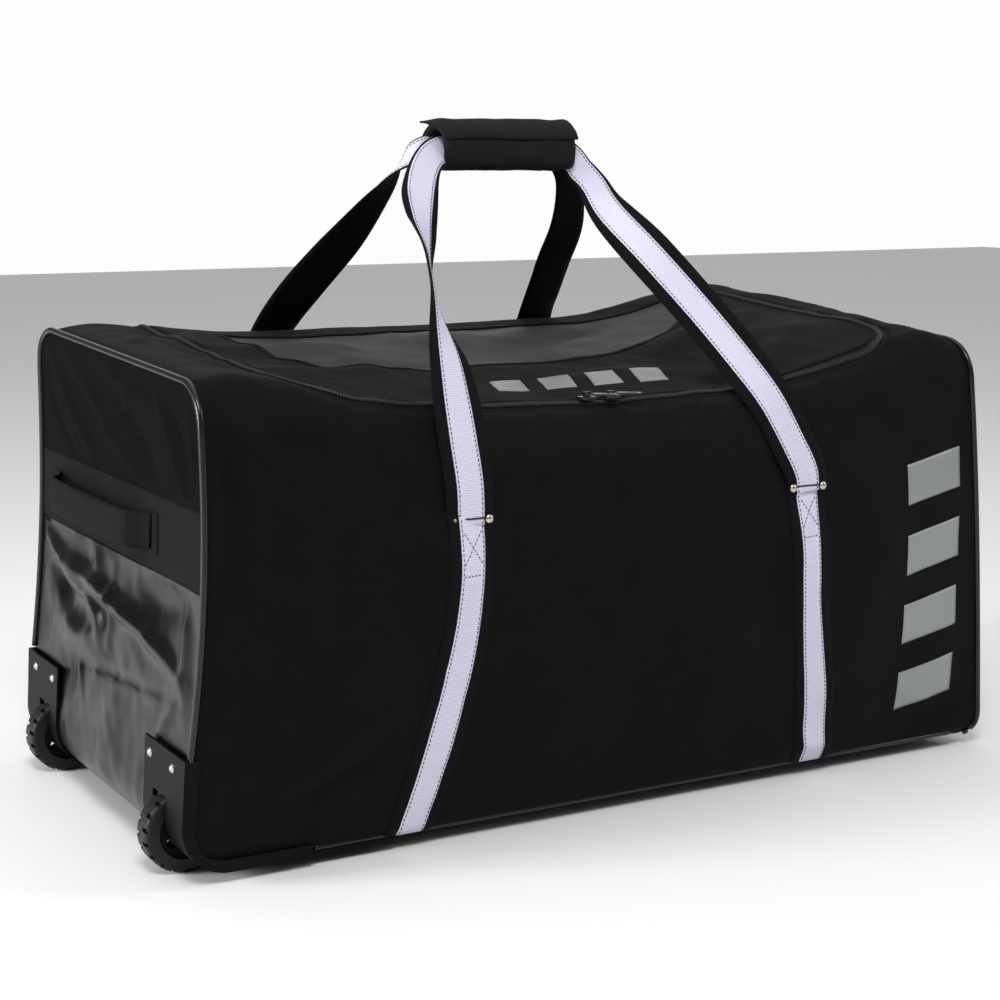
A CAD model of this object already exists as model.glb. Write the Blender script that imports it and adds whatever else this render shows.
"""Looks of the wheeled equipment bag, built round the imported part.

Shapes are worked out in millimetres in the bag's own frame, and become metres
of the row frame when a mesh is made.
"""

import logging
import math
from dataclasses import dataclass
from enum import Enum
from typing import Optional, Sequence

import bpy
import numpy as np
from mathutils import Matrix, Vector
from mathutils.geometry import delaunay_2d_cdt


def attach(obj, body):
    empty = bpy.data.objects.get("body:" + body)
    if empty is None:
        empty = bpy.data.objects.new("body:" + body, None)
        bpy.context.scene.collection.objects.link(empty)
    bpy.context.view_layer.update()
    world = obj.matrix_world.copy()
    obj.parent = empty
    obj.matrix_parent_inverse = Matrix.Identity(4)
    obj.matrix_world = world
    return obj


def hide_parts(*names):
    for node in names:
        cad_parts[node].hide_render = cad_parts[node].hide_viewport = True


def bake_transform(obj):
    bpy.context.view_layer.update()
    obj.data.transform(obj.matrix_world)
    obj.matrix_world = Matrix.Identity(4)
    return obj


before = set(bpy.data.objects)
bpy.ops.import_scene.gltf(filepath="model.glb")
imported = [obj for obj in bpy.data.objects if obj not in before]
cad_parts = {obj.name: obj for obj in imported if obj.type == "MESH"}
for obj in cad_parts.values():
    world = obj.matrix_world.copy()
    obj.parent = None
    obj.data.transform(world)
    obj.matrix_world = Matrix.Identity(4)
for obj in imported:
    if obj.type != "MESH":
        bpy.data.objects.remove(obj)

LOG = logging.getLogger("bag")
SHIFT_X = 8.0
Array = np.ndarray
Socket = bpy.types.NodeSocket


def to_row(points: Array) -> Array:
    """Turn bag-frame millimetres into row-frame metres.

    Args:
        points: array of shape (n, 3) in millimetres.

    Returns:
        The same points in metres, with the box centre on x = 0.
    """
    return (np.asarray(points, float) + (SHIFT_X, 0.0, 0.0)) * 0.001


# --------------------------------------------------------------------------
# Finishes
# --------------------------------------------------------------------------


def linear(hex_code: str) -> tuple[float, float, float, float]:
    """Turn an sRGB hex code into a linear colour.

    Args:
        hex_code: six hex digits.

    Returns:
        Linear red, green, blue and an alpha of one.
    """
    parts = [int(hex_code[i : i + 2], 16) / 255 for i in (0, 2, 4)]
    lin = [c / 12.92 if c <= 0.04045 else ((c + 0.055) / 1.055) ** 2.4 for c in parts]
    return (lin[0], lin[1], lin[2], 1.0)


def add_node(tree, kind: str, settings: Optional[dict] = None, links: Optional[dict] = None):
    """Add one shader node.

    Args:
        tree: node tree that gets the node.
        kind: Blender's node type name.
        settings: attribute names, or input names, with their values.
        links: input names with the output sockets they take.

    Returns:
        The new node.
    """
    node = tree.nodes.new(kind)
    for name, value in (settings or {}).items():
        if name in node.inputs:
            node.inputs[name].default_value = value
        else:
            setattr(node, name, value)
    for name, socket in (links or {}).items():
        tree.links.new(socket, node.inputs[name])
    return node


class Pattern(Enum):
    """How a finish is structured up close."""

    PLAIN = "plain"
    WEAVE = "weave"
    RIBS = "ribs"
    MESH = "mesh"
    GRAIN = "grain"


@dataclass(frozen=True)
class Finish:
    """A real finish: its colour, gloss and small-scale structure.

    Pitches are real millimetres; the mesh UVs carry millimetres too.
    """

    name: str
    colour: str
    roughness: float
    pattern: Pattern = Pattern.PLAIN
    pitch: float = 1.0
    depth: float = 0.15
    second: str = ""
    metallic: float = 0.0
    sheen: float = 0.0
    coat: float = 0.0
    mottle: float = 0.0
    specular: float = 0.5

    def material(self) -> bpy.types.Material:
        """Build, or fetch, the Blender material.

        Returns:
            The material of this finish.
        """
        known = bpy.data.materials.get(self.name)
        if known:
            return known
        mat = bpy.data.materials.new(self.name)
        mat.use_nodes = True
        tree = mat.node_tree
        shader = tree.nodes["Principled BSDF"]
        shader.inputs["Base Color"].default_value = linear(self.colour)
        shader.inputs["Roughness"].default_value = self.roughness
        shader.inputs["Metallic"].default_value = self.metallic
        shader.inputs["Specular IOR Level"].default_value = self.specular
        shader.inputs["Sheen Weight"].default_value = self.sheen
        shader.inputs["Sheen Roughness"].default_value = 0.45
        shader.inputs["Coat Weight"].default_value = self.coat
        shader.inputs["Coat Roughness"].default_value = 0.18
        uv = add_node(tree, "ShaderNodeUVMap", {"uv_map": "mm"}).outputs["UV"]
        height = self._height(tree, uv)
        if height is not None:
            settings = {"Strength": 1.0, "Distance": self.depth * 0.001}
            bump = add_node(tree, "ShaderNodeBump", settings, {"Height": height})
            tree.links.new(bump.outputs["Normal"], shader.inputs["Normal"])
        if self.second or self.mottle:
            self._colour(tree, uv, height, shader)
        return mat

    def _wave(self, tree: bpy.types.NodeTree, uv: Socket, axis: str, pitch: float) -> Socket:
        """One row of even waves.

        Args:
            tree: the material's node tree.
            uv: place in millimetres.
            axis: direction the waves follow.
            pitch: spacing in millimetres.

        Returns:
            The waves' height.
        """
        settings = {"bands_direction": axis, "wave_profile": "SIN", "Scale": math.pi / (10 * pitch)}
        settings["Distortion"] = 0.0
        return add_node(tree, "ShaderNodeTexWave", settings, {"Vector": uv}).outputs["Fac"]

    def _math(self, tree: bpy.types.NodeTree, kind: str, a: Socket, b: Socket) -> Socket:
        """Join two sockets by one sum.

        Args:
            tree: the material's node tree.
            kind: operation.
            a: first socket.
            b: second socket.

        Returns:
            The result.
        """
        node = add_node(tree, "ShaderNodeMath", {"operation": kind})
        for i, value in enumerate((a, b)):
            if isinstance(value, float):
                node.inputs[i].default_value = value
            else:
                tree.links.new(value, node.inputs[i])
        return node.outputs[0]

    def _height(self, tree: bpy.types.NodeTree, uv: Socket) -> Optional[Socket]:
        """Relief of the pattern.

        Args:
            tree: the material's node tree.
            uv: place in millimetres.

        Returns:
            The relief, or nothing for a plain finish.
        """
        if self.pattern is Pattern.WEAVE:
            across = self._wave(tree, uv, "X", self.pitch)
            along = self._wave(tree, uv, "Y", self.pitch)
            return self._math(tree, "MULTIPLY", across, along)
        if self.pattern is Pattern.RIBS:
            return self._wave(tree, uv, "X", self.pitch)
        if self.pattern is Pattern.MESH:
            across = self._wave(tree, uv, "X", self.pitch)
            along = self._wave(tree, uv, "Y", self.pitch)
            return self._math(tree, "MAXIMUM", across, along)
        if self.pattern is Pattern.GRAIN:
            settings = {"Scale": 1.0 / self.pitch, "Detail": 3.0, "Roughness": 0.55}
            noise = add_node(tree, "ShaderNodeTexNoise", settings, {"Vector": uv})
            return noise.outputs["Fac"]
        return None

    def _colour(
        self, tree: bpy.types.NodeTree, uv: Socket, height: Optional[Socket], shader: bpy.types.Node
    ) -> None:
        """Vary the colour with the pattern, or in soft patches.

        Args:
            tree: the material's node tree.
            uv: place in millimetres.
            height: relief of the pattern.
            shader: shader that takes the colour.
        """
        low, high = linear(self.colour), linear(self.second or self.colour)
        if self.pattern is Pattern.PLAIN or height is None or self.mottle:
            settings = {"Scale": 0.035, "Detail": 4.0, "Roughness": 0.6}
            height = add_node(tree, "ShaderNodeTexNoise", settings, {"Vector": uv}).outputs["Fac"]
        ramp = add_node(tree, "ShaderNodeValToRGB", None, {"Fac": height})
        ramp.color_ramp.elements[0].position = 0.25
        ramp.color_ramp.elements[0].color = low
        ramp.color_ramp.elements[1].position = 0.75
        ramp.color_ramp.elements[1].color = high
        tree.links.new(ramp.outputs["Color"], shader.inputs["Base Color"])


@dataclass(frozen=True)
class Finishes:
    """Every finish on the bag, with what it gives the eye."""

    # Matte black cloth. Real 600D threads lie about 0.5 mm apart; the weave is drawn coarser so that it shows
    polyester: Finish = Finish(
        "coated polyester 600D", "09090a", 0.88, Pattern.WEAVE, 1.3, 0.10,
        second="0e0e10", sheen=0.02, mottle=1.0, specular=0.12,
    )

    # Heavier, slightly smoother cloth. Its weave is drawn coarser than real too
    base: Finish = Finish("base fabric", "0a0a0b", 0.75, Pattern.WEAVE, 1.4, 0.12, specular=0.25)

    # Smooth wet-looking coating whose creases catch the light, over a faint scrim
    tarpaulin: Finish = Finish("PVC tarpaulin", "040507", 0.27, Pattern.WEAVE, 1.5, 0.04, specular=0.22)

    # Dull knitted holes that darken the upper end panels
    netting: Finish = Finish(
        "knitted mesh", "050506", 0.85, Pattern.MESH, 2.0, 0.3,
        second="0f0f10", specular=0.05,
    )

    # Paler net over the lid's window
    lid_netting: Finish = Finish(
        "lid mesh", "0c0c0d", 0.6, Pattern.MESH, 2.0, 0.3,
        second="303032", sheen=0.06, specular=0.25,
    )

    # Ribbed strap with a dull nylon-like face
    webbing: Finish = Finish(
        "polyester webbing", "070708", 0.75, Pattern.RIBS, 2.1, 0.45,
        second="0f0f11", specular=0.12,
    )

    # Pale lilac-white tape with fine cross ribs
    tape: Finish = Finish("reflective ribbed tape", "cfcde2", 0.55, Pattern.RIBS, 2.2, 0.25, second="dddbee")

    # Plain dark stitches
    thread: Finish = Finish("dark thread", "17161b", 0.7)

    # Padded cloth, a little paler than the body. Its weave is drawn coarser than real
    grip: Finish = Finish(
        "grip fabric", "0c0c0d", 0.8, Pattern.WEAVE, 1.3, 0.12,
        second="131314", mottle=1.0, specular=0.25,
    )

    # Thin bright line of light along each seam
    piping: Finish = Finish("glossy piping", "070708", 0.28)

    # Fine moulded grain on the housings and runners
    plastic: Finish = Finish("moulded plastic", "08080a", 0.5, Pattern.GRAIN, 1.0, 0.03, specular=0.1)

    # Plain grey sheet inside the base
    board: Finish = Finish("stiffener board", "2a2a2a", 0.7)

    # Dull ribbed tape beside the coil
    zip_tape: Finish = Finish("woven zip tape", "060607", 0.85, Pattern.RIBS, 1.6, 0.15, specular=0.2)

    # Small glints along the zip
    coil: Finish = Finish("nylon coil", "0a0a0b", 0.35, specular=0.45)

    # Hard glossy black on the sliders
    enamel: Finish = Finish("black enamel", "0a0a0b", 0.28, coat=0.4)

    # Warm worn metal on the rivets
    nickel: Finish = Finish("antique nickel", "cfc3b0", 0.3, metallic=1.0)

    # Bare bright metal of the axles
    steel: Finish = Finish("plain steel", "9a9a9a", 0.3, metallic=1.0)

    # Soft metallic print, part ink and part metal flake
    silver: Finish = Finish("satin silver print", "949797", 0.42, metallic=0.35)

    # Dull grained tread
    rubber: Finish = Finish("tread rubber", "0b0b0c", 0.5, Pattern.GRAIN, 1.2, 0.05, specular=0.4)


FINISH = Finishes()


# --------------------------------------------------------------------------
# Mesh helpers
# --------------------------------------------------------------------------


@dataclass
class Sheet:
    """Vertices in millimetres, faces, and UVs in millimetres per vertex."""

    points: Array
    faces: list
    uv: Array

    def joined(self, other: "Sheet") -> "Sheet":
        """Put another sheet into the same mesh.

        Args:
            other: the sheet to add.

        Returns:
            A sheet that holds both.
        """
        start = len(self.points)
        faces = self.faces + [tuple(i + start for i in f) for f in other.faces]
        points = np.vstack([self.points, other.points])
        return Sheet(points, faces, np.vstack([self.uv, other.uv]))

    def build(
        self,
        name: str,
        finish: Finish,
        body: str,
        replaces: Sequence[str] = (),
        slot: str = "",
    ) -> bpy.types.Object:
        """Make the Blender object.

        Args:
            name: object name.
            finish: its finish.
            body: CAD body it rides on.
            replaces: CAD nodes it stands for.
            slot: material slot of the record.

        Returns:
            The new object.
        """
        mesh = bpy.data.meshes.new(name)
        mesh.from_pydata(to_row(self.points).tolist(), [], self.faces)
        layer = mesh.uv_layers.new(name="mm")
        loops = np.empty(len(mesh.loops), int)
        mesh.loops.foreach_get("vertex_index", loops)
        layer.data.foreach_set("uv", self.uv[loops].astype(np.float32).ravel())
        mesh.polygons.foreach_set("use_smooth", [True] * len(mesh.polygons))
        mesh.materials.append(finish.material())
        obj = bpy.data.objects.new(name, mesh)
        bpy.context.collection.objects.link(obj)
        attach(obj, body)
        if replaces:
            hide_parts(*replaces)
        return obj


def inside(points: Array, loop: Array) -> Array:
    """Even-odd test of points against a closed loop.

    Args:
        points: (n, 2) points.
        loop: (m, 2) corners.

    Returns:
        True for each point inside.
    """
    result = np.zeros(len(points), bool)
    following = np.roll(loop, -1, axis=0)
    for (x0, y0), (x1, y1) in zip(loop, following):
        crosses = (y0 > points[:, 1]) != (y1 > points[:, 1])
        if y1 != y0:
            at = x0 + (points[:, 1] - y0) * (x1 - x0) / (y1 - y0)
            result ^= crosses & (points[:, 0] < at)
    return result


def resample(corners: Array, step: float) -> Array:
    """Put points along a closed loop at about one spacing.

    Args:
        corners: (n, 2) corners.
        step: wanted spacing.

    Returns:
        The denser loop.
    """
    out = []
    for a, b in zip(corners, np.roll(corners, -1, axis=0)):
        count = max(1, int(round(np.linalg.norm(b - a) / step)))
        out.extend(a + (b - a) * i / count for i in range(count))
    return np.array(out)


def fill_loop(loop: Array, step: float, inner: Sequence[Array] = ()) -> tuple[Array, list]:
    """Triangulate the inside of a flat loop with evenly spread points.

    Args:
        loop: outer boundary.
        step: spacing in the loop's own unit.
        inner: loops inside it that triangle edges must follow.

    Returns:
        Points, and triangles as index triples.
    """
    loops = [resample(np.asarray(l, float), step) for l in (loop, *inner)]
    rim = np.vstack(loops)
    low, high = loops[0].min(axis=0), loops[0].max(axis=0)
    xs = np.arange(low[0] + step / 2, high[0], step)
    ys = np.arange(low[1] + step / 2, high[1], step * 0.9)
    gx, gy = np.meshgrid(xs, ys)
    gx[1::2] += step / 2
    grid = np.column_stack([gx.ravel(), gy.ravel()])
    grid = grid[inside(grid, loops[0])]
    near = np.full(len(grid), np.inf)
    for start in range(0, len(rim), 200):
        part = rim[start : start + 200]
        gap = np.linalg.norm(grid[:, None, :] - part[None, :, :], axis=2).min(axis=1)
        near = np.minimum(near, gap)
    grid = grid[near > step * 0.55]
    points = np.vstack([rim, grid])
    edges, at = [], 0
    for part in loops:
        count = len(part)
        edges += [(at + i, at + (i + 1) % count) for i in range(count)]
        at += count
    verts, _, faces, *_ = delaunay_2d_cdt([Vector(p) for p in points], edges, [], 1, 1e-4)
    flat = np.array([tuple(v) for v in verts])
    faces = [tuple(f) for f in faces]
    centre = np.array([flat[list(f)].mean(axis=0) for f in faces])
    keep = inside(centre, loops[0])
    return flat, [f for f, k in zip(faces, keep) if k]


def grid_faces(rows: int, columns: int, wrap: bool = False) -> list:
    """Quads of a rows by columns grid.

    Args:
        rows: points along.
        columns: points across.
        wrap: joins the last column to the first.

    Returns:
        Index quads.
    """
    last = columns if wrap else columns - 1
    quads = []
    for r in range(rows - 1):
        for c in range(last):
            d = (c + 1) % columns
            quads.append((r * columns + c, r * columns + d, (r + 1) * columns + d, (r + 1) * columns + c))
    return quads


def lengths(points: Array) -> Array:
    """Distance along a polyline at each of its points."""
    steps = np.linalg.norm(np.diff(points, axis=0), axis=1)
    return np.concatenate([[0.0], np.cumsum(steps)])


def unit(v: Array) -> Array:
    """Scale vectors in the last axis to length one."""
    return v / np.maximum(np.linalg.norm(v, axis=-1, keepdims=True), 1e-9)


def smooth_path(points: Sequence[Sequence[float]], step: float) -> Array:
    """Catmull-Rom path through points, evenly resampled.

    Args:
        points: rows of any width; the first three columns are a position.
        step: spacing of the result.

    Returns:
        The resampled rows.
    """
    p = np.asarray(points, float)
    p = np.vstack([2 * p[0] - p[1], p, 2 * p[-1] - p[-2]])
    rows = []
    for i in range(1, len(p) - 2):
        t = np.linspace(0, 1, 24, endpoint=False)[:, None]
        a, b, c, d = p[i - 1], p[i], p[i + 1], p[i + 2]
        rows.append(0.5 * (2 * b + (c - a) * t + (2 * a - 5 * b + 4 * c - d) * t**2 + (3 * b - a - 3 * c + d) * t**3))
    rows.append(p[-2][None, :])
    dense = np.vstack(rows)
    along = lengths(dense[:, :3])
    count = max(2, int(along[-1] / step))
    at = np.linspace(0, along[-1], count)
    return np.column_stack([np.interp(at, along, dense[:, k]) for k in range(dense.shape[1])])


def ribbon(
    path: Array,
    across: Array,
    width: float,
    thick: float,
    lift: float = 0.0,
    scale: Array = 1.0,
    columns: int = 9,
) -> Sheet:
    """Closed flat band along a path.

    Args:
        path: (n, 3) centre line.
        across: (n, 3) width directions.
        width: band width.
        thick: band thickness.
        lift: shift along the band's normal.
        scale: share of the width at each point.
        columns: points across each face.

    Returns:
        The band.
    """
    tangent = unit(np.gradient(path, axis=0))
    across = unit(across - tangent * (across * tangent).sum(axis=1, keepdims=True))
    normal = np.cross(across, tangent)
    half = width / 2
    side = np.linspace(-half, half, columns)
    scale = np.broadcast_to(np.asarray(scale, float), (len(path),))
    edge = np.minimum(1.0, (half - np.abs(side)) / max(thick, 0.2) + 0.35)
    top = [(s, lift + thick * 0.5 * e) for s, e in zip(side, edge)]
    low = [(s, lift - thick * 0.5 * e) for s, e in zip(side[::-1], edge[::-1])]
    ring = np.array(top + low)
    along = lengths(path)
    points = path[:, None, :] + across[:, None, :] * ring[None, :, :1] * scale[:, None, None] + normal[:, None, :] * ring[None, :, 1:]
    uv = np.empty((len(path), len(ring), 2))
    uv[..., 0] = along[:, None]
    uv[..., 1] = ring[None, :, 0] + half
    count = len(ring)
    faces = grid_faces(len(path), count, wrap=True)
    faces = [tuple(reversed(f)) for f in faces]
    last = (len(path) - 1) * count
    faces.append(tuple(range(count)))
    faces.append(tuple(last + i for i in reversed(range(count))))
    return Sheet(points.reshape(-1, 3), faces, uv.reshape(-1, 2))


def tube(path: Array, radius: float, sides: int = 10, closed: bool = False) -> Sheet:
    """Round cord along a path.

    Args:
        path: (n, 3) centre line.
        radius: tube radius.
        sides: points round it.
        closed: joins the end to the start.

    Returns:
        The tube.
    """
    tangent = unit(np.gradient(path, axis=0))
    helper = np.where(np.abs(tangent[:, :1]) < 0.8, np.array([[1.0, 0, 0]]), np.array([[0, 0, 1.0]]))
    one = unit(np.cross(tangent, helper))
    two = np.cross(tangent, one)
    angle = np.linspace(0, 2 * math.pi, sides, endpoint=False)
    ring = one[:, None, :] * np.cos(angle)[None, :, None] + two[:, None, :] * np.sin(angle)[None, :, None]
    points = path[:, None, :] + radius * ring
    uv = np.empty((len(path), sides, 2))
    uv[..., 0] = lengths(path)[:, None]
    uv[..., 1] = (angle * radius)[None, :]
    faces = grid_faces(len(path), sides, wrap=True)
    last = (len(path) - 1) * sides
    if closed:
        faces += [(last + i, last + (i + 1) % sides, (i + 1) % sides, i) for i in range(sides)]
    else:
        faces.append(tuple(reversed(range(sides))))
        faces.append(tuple(last + i for i in range(sides)))
    return Sheet(points.reshape(-1, 3), faces, uv.reshape(-1, 2))


def noise(x: Array, y: Array, cell: float, seed: int) -> Array:
    """Smooth value noise in -1 to 1.

    Args:
        x: first coordinate.
        y: second coordinate.
        cell: size of one cell.
        seed: picks the pattern.

    Returns:
        Noise at each point.
    """
    table = np.random.default_rng(seed).uniform(-1, 1, (64, 64))
    u, v = np.asarray(x) / cell + 1000.0, np.asarray(y) / cell + 1000.0
    i, j = np.floor(u).astype(int), np.floor(v).astype(int)
    a, b = u - i, v - j
    a, b = a * a * (3 - 2 * a), b * b * (3 - 2 * b)
    p = table[i % 64, j % 64] * (1 - a) + table[(i + 1) % 64, j % 64] * a
    q = table[i % 64, (j + 1) % 64] * (1 - a) + table[(i + 1) % 64, (j + 1) % 64] * a
    return p * (1 - b) + q * b


def fade(value: Array, low: float, high: float) -> Array:
    """Smooth step from 0 at low to 1 at high."""
    t = np.clip((np.asarray(value, float) - low) / (high - low), 0, 1)
    return t * t * (3 - 2 * t)


@dataclass(frozen=True)
class Fold:
    """One soft ridge or valley on a panel, along a bent line."""

    line: tuple[tuple[float, float], ...]
    width: float
    height: float
    sharp: float = 1.0

    def at(self, u: Array, v: Array) -> Array:
        """Height of the fold at panel coordinates.

        Args:
            u: first coordinate.
            v: second coordinate.

        Returns:
            Height in millimetres.
        """
        best = np.full(np.shape(u), np.inf)
        along = np.zeros(np.shape(u))
        points = np.asarray(self.line, float)
        total = len(points) - 1
        for i, (a, b) in enumerate(zip(points[:-1], points[1:])):
            d = b - a
            t = np.clip(((u - a[0]) * d[0] + (v - a[1]) * d[1]) / (d @ d), 0, 1)
            gap = np.hypot(u - a[0] - t * d[0], v - a[1] - t * d[1])
            along = np.where(gap < best, (i + t) / total, along)
            best = np.minimum(best, gap)
        taper = np.sin(math.pi * np.clip(along, 0.03, 0.97)) ** 0.6
        return self.height * taper * np.exp(-((best / self.width) ** 2) ** self.sharp)


def total(folds: Sequence[Fold], u: Array, v: Array) -> Array:
    """Sum of folds at panel coordinates."""
    out = np.zeros(np.shape(u))
    for fold in folds:
        out = out + fold.at(u, v)
    return out


def slab(top: Array, low: Array, uv: Array) -> Sheet:
    """Closed solid between two grids of points.

    Args:
        top: (rows, columns, 3) outer points.
        low: (rows, columns, 3) inner points.
        uv: (rows, columns, 2) coordinates of both.

    Returns:
        The closed solid.
    """
    rows, columns = top.shape[:2]
    count = rows * columns
    faces = grid_faces(rows, columns)
    faces = faces + [tuple(count + i for i in reversed(f)) for f in faces]
    rim = [c for c in range(columns)]
    rim += [r * columns + columns - 1 for r in range(1, rows)]
    rim += [(rows - 1) * columns + c for c in range(columns - 2, -1, -1)]
    rim += [r * columns for r in range(rows - 2, 0, -1)]
    for a, b in zip(rim, rim[1:] + rim[:1]):
        faces.append((b, a, count + a, count + b))
    points = np.vstack([top.reshape(-1, 3), low.reshape(-1, 3)])
    flat = uv.reshape(-1, 2)
    return Sheet(points, faces, np.vstack([flat, flat]))


def thicken(points: Array, faces: list, uv: Array, thickness: float) -> Sheet:
    """Give an open sheet of triangles a back side and a rim.

    Args:
        points: (n, 3) outer points.
        faces: triangles that face outwards.
        uv: (n, 2) coordinates.
        thickness: cloth thickness, grown inwards.

    Returns:
        The closed sheet.
    """
    tri = np.array(faces)
    a, b, c = (points[tri[:, i]] for i in range(3))
    area = np.cross(b - a, c - a)
    normal = np.zeros_like(points)
    for i in range(3):
        np.add.at(normal, tri[:, i], area)
    count = len(points)
    inner = points - unit(normal) * thickness
    seen: dict = {}
    for f in faces:
        for i in range(3):
            edge = (f[i], f[(i + 1) % 3])
            seen[edge] = True
    rim = [e for e in seen if (e[1], e[0]) not in seen]
    back = [tuple(count + i for i in reversed(f)) for f in faces]
    sides = [(j, i, count + i, count + j) for i, j in rim]
    return Sheet(np.vstack([points, inner]), list(faces) + back + sides, np.vstack([uv, uv]))


# --------------------------------------------------------------------------
# The form of the bag
# --------------------------------------------------------------------------

FRONT_FOLDS = (
    Fold(((-435, 30), (-371, 48), (-272, 78)), 9, 4.0),
    Fold(((-409, 40), (-332, 62), (-250, 104)), 10, -3.4),
    Fold(((-400, 62), (-323, 100), (-262, 140)), 12, 3.2),
    Fold(((-420, 420), (-412, 362), (-407, 290)), 10, -5.0),
    Fold(((-434, 430), (-414, 420), (-376, 396)), 10, 4.0),
    Fold(((-384, 424), (-360, 396), (-300, 372)), 16, -3.0),
    Fold(((-240, 374), (-150, 352), (20, 360), (150, 352)), 24, 3.0),
    Fold(((-60, 378), (30, 386), (80, 404)), 9, -4.0),
    Fold(((96, 396), (140, 404), (180, 392)), 10, -4.0),
    Fold(((-120, 300), (-40, 330), (60, 300)), 34, 2.4),
    Fold(((-330, 250), (-300, 180), (-320, 110)), 40, 3.0),
    Fold(((-140, 190), (-90, 120), (-150, 60)), 38, 2.6),
    Fold(((40, 200), (100, 150), (80, 70)), 40, 2.6),
    Fold(((260, 330), (300, 240), (270, 120)), 34, 2.4),
    Fold(((-206, 330), (-204, 250), (-222, 170)), 26, 4.5),
    Fold(((178, 300), (190, 230), (186, 120)), 22, 3.0),
    Fold(((150, 60), (190, 34), (260, 30)), 14, 2.6),
    Fold(((330, 60), (380, 34), (420, 60)), 16, -2.2),
)
TOP_FOLDS = (
    Fold(((-330, -120), (-250, -60), (-160, -40)), 26, 6.0),
    Fold(((-290, 40), (-200, 80), (-120, 60)), 30, 7.0),
    Fold(((-262, -40), (-180, 0), (-90, -30)), 18, -5.0),
    Fold(((-60, 120), (20, 80), (120, 130)), 30, 7.0),
    Fold(((120, -190), (190, -150), (250, -70)), 18, -8.0),
    Fold(((200, -170), (260, -120), (330, -60)), 20, 6.0),
    Fold(((140, -60), (220, 0), (300, 20)), 26, 8.0),
    Fold(((60, 30), (120, 90), (210, 120)), 16, -6.0),
    Fold(((-20, -130), (60, -100), (120, -120)), 22, 3.0),
    Fold(((310, 60), (330, 120), (320, 170)), 18, 5.0),
    Fold(((-330, 60), (-300, 130), (-320, 170)), 18, 4.0),
    Fold(((380, -120), (396, 0), (384, 120)), 12, 4.0),
    Fold(((-385, -150), (-380, 0), (-388, 120)), 10, 3.0),
)
BACK_FOLDS = (
    Fold(((-350, 60), (-300, 160), (-320, 300)), 30, 4.0),
    Fold(((-120, 330), (0, 300), (130, 340)), 28, 3.5),
    Fold(((-60, 60), (0, 160), (-40, 260)), 36, 3.5),
    Fold(((320, 80), (300, 180), (340, 300)), 30, 4.0),
    Fold(((380, 60), (300, 90), (240, 80)), 12, 3.0),
    Fold(((-400, 70), (-320, 110), (-270, 100)), 12, 3.0),
)


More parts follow.
